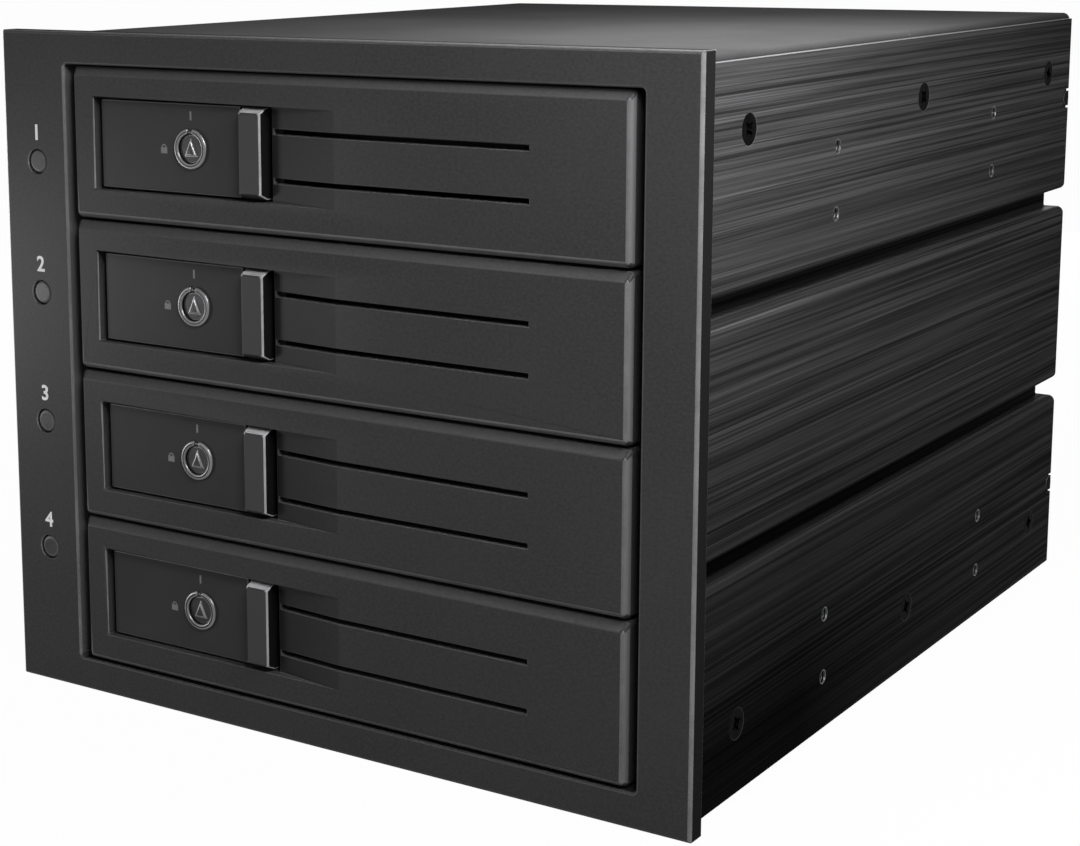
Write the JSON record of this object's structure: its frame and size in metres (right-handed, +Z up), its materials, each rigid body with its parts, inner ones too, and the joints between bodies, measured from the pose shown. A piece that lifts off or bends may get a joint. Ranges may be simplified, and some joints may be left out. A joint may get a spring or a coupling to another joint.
{
  "type": "hot swap drive cage",
  "caption": "Case for three 5.25 inch bays with slide-in trays for 3.5 inch drives; each tray front has a swinging pull handle, a key lock and vent slots; a fan blows out at the back",
  "frame": {"origin": "middle of the bottom of the overall box: half way across the bezel, half way from the handle ridges to the fan's back, at the bezel's lower edge", "axes": "+X to the right seen from the front, +Y to the back, +Z up"},
  "size_m": [0.148, 0.21, 0.128],
  "materials": {
    "side_aluminium": "black anodised, brushed lengthwise",
    "black_sheet": "black powder coat",
    "front_plastic": "fine black texture",
    "guide_plastic": "black, moulded",
    "handle_plastic": "black, satin",
    "tray_steel": "black electrocoat",
    "black_screw": "black oxide",
    "steel_screw": "nickel plated",
    "board": "green solder mask",
    "socket_black": "black",
    "socket_white": "natural nylon",
    "pin_tin": "tin plated",
    "capacitor": "sleeved can",
    "fan_plastic": "black glass-filled",
    "bronze": "sintered",
    "core": "wound core",
    "shaft_steel": "ground",
    "clear": "smoked clear",
    "lamp": "clear lens",
    "lock_metal": "black, satin",
    "spring_steel": "spring steel"
  },
  "bodies": {
    "case": {"side_plate_right": "side_aluminium", "side_plate_left": "side_aluminium", "lid": "black_sheet", "base": "black_sheet", "case_screws": "black_screw", "front_bezel": "front_plastic", "guide_frame_right": "guide_plastic", "guide_frame_left": "guide_plastic", "backplane_board": "board", "drive_sockets": "socket_black", "data_sockets": "socket_black", "power_sockets": "socket_white", "power_pins": "pin_tin", "board_capacitors": "capacitor", "board_screws": "steel_screw", "rear_panel": "black_sheet", "rear_panel_screws": "steel_screw", "fan_frame": "fan_plastic", "fan_bearing": "bronze", "fan_stator": "core", "fan_screws": "steel_screw", "lamp_board": "board", "lamps": "lamp", "light_pipes": "clear"},
    "fan_wheel": {"fan_rotor": "fan_plastic", "fan_shaft": "shaft_steel"},
    "tray_1": {"tray_front_1": "front_plastic", "tray_frame_1": "tray_steel", "tray_screws_1": "steel_screw", "handle_pin_1": "shaft_steel", "handle_spring_1": "spring_steel"},
    "pull_1": {"handle_1": "handle_plastic", "lock_collar_1": "lock_metal"},
    "key_1": {"lock_barrel_1": "lock_metal"},
    "tray_2": {"tray_front_2": "front_plastic", "tray_frame_2": "tray_steel", "tray_screws_2": "steel_screw", "handle_pin_2": "shaft_steel", "handle_spring_2": "spring_steel"},
    "pull_2": {"handle_2": "handle_plastic", "lock_collar_2": "lock_metal"},
    "key_2": {"lock_barrel_2": "lock_metal"},
    "tray_3": {"tray_front_3": "front_plastic", "tray_frame_3": "tray_steel", "tray_screws_3": "steel_screw", "handle_pin_3": "shaft_steel", "handle_spring_3": "spring_steel"},
    "pull_3": {"handle_3": "handle_plastic", "lock_collar_3": "lock_metal"},
    "key_3": {"lock_barrel_3": "lock_metal"},
    "tray_4": {"tray_front_4": "front_plastic", "tray_frame_4": "tray_steel", "tray_screws_4": "steel_screw", "handle_pin_4": "shaft_steel", "handle_spring_4": "spring_steel"},
    "pull_4": {"handle_4": "handle_plastic", "lock_collar_4": "lock_metal"},
    "key_4": {"lock_barrel_4": "lock_metal"}
  },
  "joints": [
    {"name": "fan_spin", "type": "hinge", "parent": "case", "child": "fan_wheel", "pos_m": [0, 0.09245, 0.0645], "axis": [0, 1, 0], "continuous": true},
    {"name": "tray_1_slide", "type": "slide", "parent": "case", "child": "tray_1", "axis": [0, -1, 0], "range_m": [0, 0.135]},
    {"name": "handle_1_swing", "type": "hinge", "parent": "tray_1", "child": "pull_1", "pos_m": [-0.0481, -0.10125, 0.10745], "axis": [0, 0, -1], "range_deg": [0, 75]},
    {"name": "lock_1_turn", "type": "hinge", "parent": "pull_1", "child": "key_1", "pos_m": [-0.0287, -0.10285, 0.10745], "axis": [0, -1, 0], "range_deg": [0, 90]},
    {"name": "tray_2_slide", "type": "slide", "parent": "case", "child": "tray_2", "axis": [0, -1, 0], "range_m": [0, 0.135]},
    {"name": "handle_2_swing", "type": "hinge", "parent": "tray_2", "child": "pull_2", "pos_m": [-0.0481, -0.10125, 0.07855], "axis": [0, 0, -1], "range_deg": [0, 75]},
    {"name": "lock_2_turn", "type": "hinge", "parent": "pull_2", "child": "key_2", "pos_m": [-0.0287, -0.10285, 0.07855], "axis": [0, -1, 0], "range_deg": [0, 90]},
    {"name": "tray_3_slide", "type": "slide", "parent": "case", "child": "tray_3", "axis": [0, -1, 0], "range_m": [0, 0.135]},
    {"name": "handle_3_swing", "type": "hinge", "parent": "tray_3", "child": "pull_3", "pos_m": [-0.0481, -0.10125, 0.04965], "axis": [0, 0, -1], "range_deg": [0, 75]},
    {"name": "lock_3_turn", "type": "hinge", "parent": "pull_3", "child": "key_3", "pos_m": [-0.0287, -0.10285, 0.04965], "axis": [0, -1, 0], "range_deg": [0, 90]},
    {"name": "tray_4_slide", "type": "slide", "parent": "case", "child": "tray_4", "axis": [0, -1, 0], "range_m": [0, 0.135]},
    {"name": "handle_4_swing", "type": "hinge", "parent": "tray_4", "child": "pull_4", "pos_m": [-0.0481, -0.10125, 0.02075], "axis": [0, 0, -1], "range_deg": [0, 75]},
    {"name": "lock_4_turn", "type": "hinge", "parent": "pull_4", "child": "key_4", "pos_m": [-0.0287, -0.10285, 0.02075], "axis": [0, -1, 0], "range_deg": [0, 90]}
  ]
}
